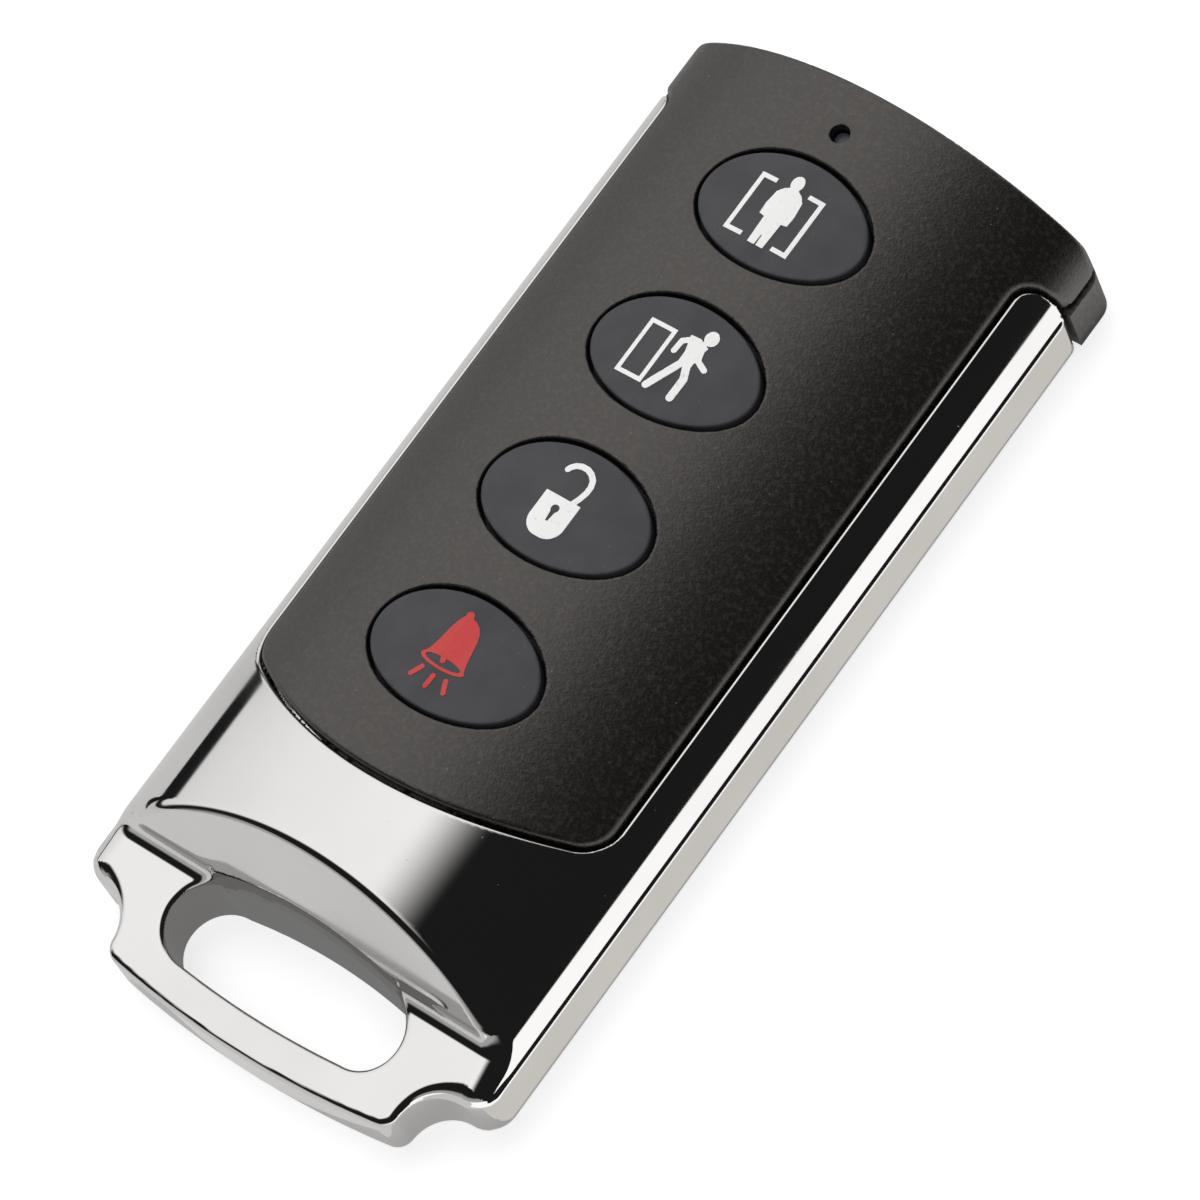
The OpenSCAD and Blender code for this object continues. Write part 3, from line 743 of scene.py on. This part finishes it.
def make_keys():
    signs = {"stay": stay_sign, "away": away_sign, "disarm": disarm_sign, "panic": panic_sign}
    for key, key_y in zip(KEYS, KEY_Y):
        node = key + "_button"
        low, high = node_box(node)
        shift = np.array([0, key_y, 0])
        axes = even_axes(low - shift, high - shift, KEY_CELL)
        piece = field_piece(key + "_rubber_key", key_field(low[2]), axes, shift)
        finish_piece(piece, rubber, key + "_key", "grey_rubber", node)
        sign = sign_piece(key + "_print", signs[key], key_y)
        finish_piece(sign, red_print if key == "panic" else white_print, key + "_key", "grey_rubber")


def dress_nodes():
    dress("rear_cover", cover_black)
    steel = inner_finish("plain_steel", (0.62, 0.61, 0.6), 1.0, 0.25)
    for node in ("cover_screw", "board_screws", "cell_can", "cell_cap", "positive_clip", "negative_leaf",
                 "crystal_can"):
        dress(node, steel)
    dress("circuit_board", inner_finish("green_board", (0.02, 0.14, 0.05), 0.0, 0.3))
    dress("antenna_loop", inner_finish("copper_track", (0.8, 0.45, 0.2), 1.0, 0.3))
    dress("keypad_mat", rubber)
    dress("cell_gasket", inner_finish("gasket_grey", (0.06, 0.06, 0.06), 0.0, 0.5))
    chip = inner_finish("chip_black", (0.02, 0.02, 0.022), 0.0, 0.45)
    for key in KEYS:
        dress(key + "_switch", chip)
    dress("transmitter_chip", chip)
    dress("chip_parts", inner_finish("chip_tan", (0.45, 0.33, 0.2), 0.0, 0.4))
    ivory = inner_finish("ivory_plastic", (0.7, 0.66, 0.55), 0.0, 0.4)
    for key in KEYS:
        dress(key + "_plunger", ivory)
    dress("light_pipe", inner_finish("lens_grey", (0.05, 0.056, 0.07), 0.0, 0.15))
    dress("led_lamp", inner_finish("lamp_white", (0.75, 0.74, 0.68), 0.0, 0.3))


# Floor, light and camera

def seen_white(f):
    """Glow of the ground for rays from the camera, and a weaker one from a mirror or glass."""
    path = f.node("ShaderNodeLightPath", out="Is Camera Ray")
    outs = path.socket.node.outputs
    glossy, clear = Wire(f, outs["Is Glossy Ray"]), Wire(f, outs["Is Transmission Ray"])
    return 0.7 * path + 0.22 * (glossy + clear)


def floor_sheet():
    """A pale sheet a hair below the fob's flat back."""
    reach, parts, drop = 0.5, 24, 0.02 * MM
    lines = np.linspace(-reach, reach, parts + 1)
    x, y = np.meshgrid(lines, lines, indexing="ij")
    points = np.stack([x.ravel(), y.ravel(), np.full(x.size, -drop)], 1)
    mesh = bpy.data.meshes.new("floor_sheet")
    mesh.from_pydata(points.tolist(), [], grid_quads(parts + 1).tolist())
    material, f = new_finish("pale_floor")
    paper = f.noise(0.5, 2.0)
    tone = f.mix(paper, rgb(0.44, 0.44, 0.44), rgb(0.46, 0.46, 0.46))
    matte = f.node("ShaderNodeBsdfDiffuse", None, {"Color": tone})
    glow = f.node("ShaderNodeEmission", None, {"Strength": seen_white(f)})
    both = f.node("ShaderNodeAddShader", None, {0: matte, 1: glow})
    f.node("ShaderNodeOutputMaterial", None, {"Surface": both})
    mesh.materials.append(material)
    new_piece("floor_sheet", mesh)


def floor_card(name, x0, x1, y0, y1, glow, tone=(1.0, 1.0, 1.0)):
    """A black, pale or white card just above the floor that only mirrors see."""
    lift = 0.2
    corners = [(x0, y0, lift), (x1, y0, lift), (x1, y1, lift), (x0, y1, lift)]
    mesh = bpy.data.meshes.new(name)
    mesh.from_pydata([tuple(c * MM for c in p) for p in corners], [], [(0, 1, 2, 3)])
    material, f = new_finish(name)
    shine = f.node("ShaderNodeEmission", None, {"Color": rgb(*tone), "Strength": glow})
    f.node("ShaderNodeOutputMaterial", None, {"Surface": shine})
    mesh.materials.append(material)
    sheet = new_piece(name, mesh)
    sheet.visible_camera = False
    sheet.visible_shadow = False
    sheet.visible_diffuse = False


def floor_cards():
    """Cards that give the chrome its dark, pale and white bands; the pale cards by the right wall and the
    loop end are painted light, and the dim card under the slot is painted shade.
    """
    floor_card("left_dark_card", -600, -90, -60, 300, 0.01)
    floor_card("right_dark_card", 60, 600, -300, 300, 0.01)
    floor_card("right_white_card", 17.2, 54, -120, 120, 1.2)
    floor_card("right_soft_card", 54, 60, -120, 120, 0.45)
    # Painted light: pale cards on the shaded floor by the right wall and before the loop end, so the
    # chrome mirrors a lit floor there
    floor_card("right_painted_light_card", 15.6, 17.2, -31, 60, 0.68, (1.0, 0.975, 0.93))
    floor_card("end_painted_light_card", -40, 15, -90, -33.8, 0.66)
    # Painted shade: a dim card under the key-ring slot, where the floor is shaded, that darkens the
    # slot's chrome walls
    floor_card("slot_painted_shade_card", -9.5, 9.5, -31.6, -25, 0.19)


def studio_world():
    """A bright soft tent on the left and above, a paler sweep low in front, dark on the right."""
    world = bpy.data.worlds.new("studio")
    bpy.context.scene.world = world
    f = Finish(world)
    way = f.node("ShaderNodeTexCoord", out="Generated")
    x = f.node("ShaderNodeSeparateXYZ", None, {0: way}, out=0)
    y = Wire(f, x.socket.node.outputs[1])
    z = Wire(f, x.socket.node.outputs[2])
    tent = x.step(0.3, -0.08) * y.step(-0.5, -0.3) * z.step(0.03, 0.06)
    front = y.step(-0.62, -0.8) * z.step(0.34, 0.16)
    light = 0.015 + (0.96 + 0.36 * z) * tent + 0.5 * front
    path = f.node("ShaderNodeLightPath", out="Is Camera Ray")
    glow = f.node("ShaderNodeBackground", None, {"Strength": light + path * (1 - light)})
    f.node("ShaderNodeOutputWorld", None, {"Surface": glow})


def soft_lamp(name, at, size=0.6, power=1.6):
    """A wide lamp that shines at the fob and that no mirror sees."""
    lamp = bpy.data.lights.new(name, "AREA")
    lamp.shape = "DISK"
    lamp.size = size
    lamp.energy = power
    obj = bpy.data.objects.new(name, lamp)
    bpy.context.scene.collection.objects.link(obj)
    obj.location = at
    obj.rotation_euler = (-Vector(at)).to_track_quat("-Z", "Y").to_euler()
    obj.visible_glossy = False


# Camera fitted to the photograph, in degrees, millimetres and pixels
CAMERA_TURN = (62.818, 59.977, -29.47)
CAMERA_TARGET = (2.768, -0.023, 6.0)
CAMERA_DISTANCE = 419.96
CAMERA_FOCUS = 7177.7
PHOTO_SIDE = 1200
SENSOR = 36.0


def photo_camera():
    azimuth, elevation, roll = [math.radians(a) for a in CAMERA_TURN]
    target = Vector(CAMERA_TARGET) * MM
    away = Vector((math.cos(elevation) * math.sin(azimuth), -math.cos(elevation) * math.cos(azimuth),
                   math.sin(elevation)))
    right = Vector((0, 0, 1)).cross(away).normalized()
    up = away.cross(right)
    across = math.cos(roll) * right + math.sin(roll) * up
    upright = math.cos(roll) * up - math.sin(roll) * right
    data = bpy.data.cameras.new("photo_camera")
    data.sensor_width = SENSOR
    data.lens = CAMERA_FOCUS * SENSOR / PHOTO_SIDE
    data.clip_start = 0.01
    camera = bpy.data.objects.new("photo_camera", data)
    bpy.context.scene.collection.objects.link(camera)
    turn = Matrix((across, upright, away)).transposed()
    camera.matrix_world = Matrix.Translation(target + CAMERA_DISTANCE * MM * away) @ turn.to_4x4()
    bpy.context.scene.camera = camera


make_shells()
make_keys()
dress_nodes()
floor_sheet()
floor_cards()
studio_world()
soft_lamp("soft_left", (-0.3, 0.2, 0.6))
soft_lamp("soft_right", (0.3, -0.2, 0.55))
photo_camera()
bpy.context.scene.view_settings.view_transform = "Standard"
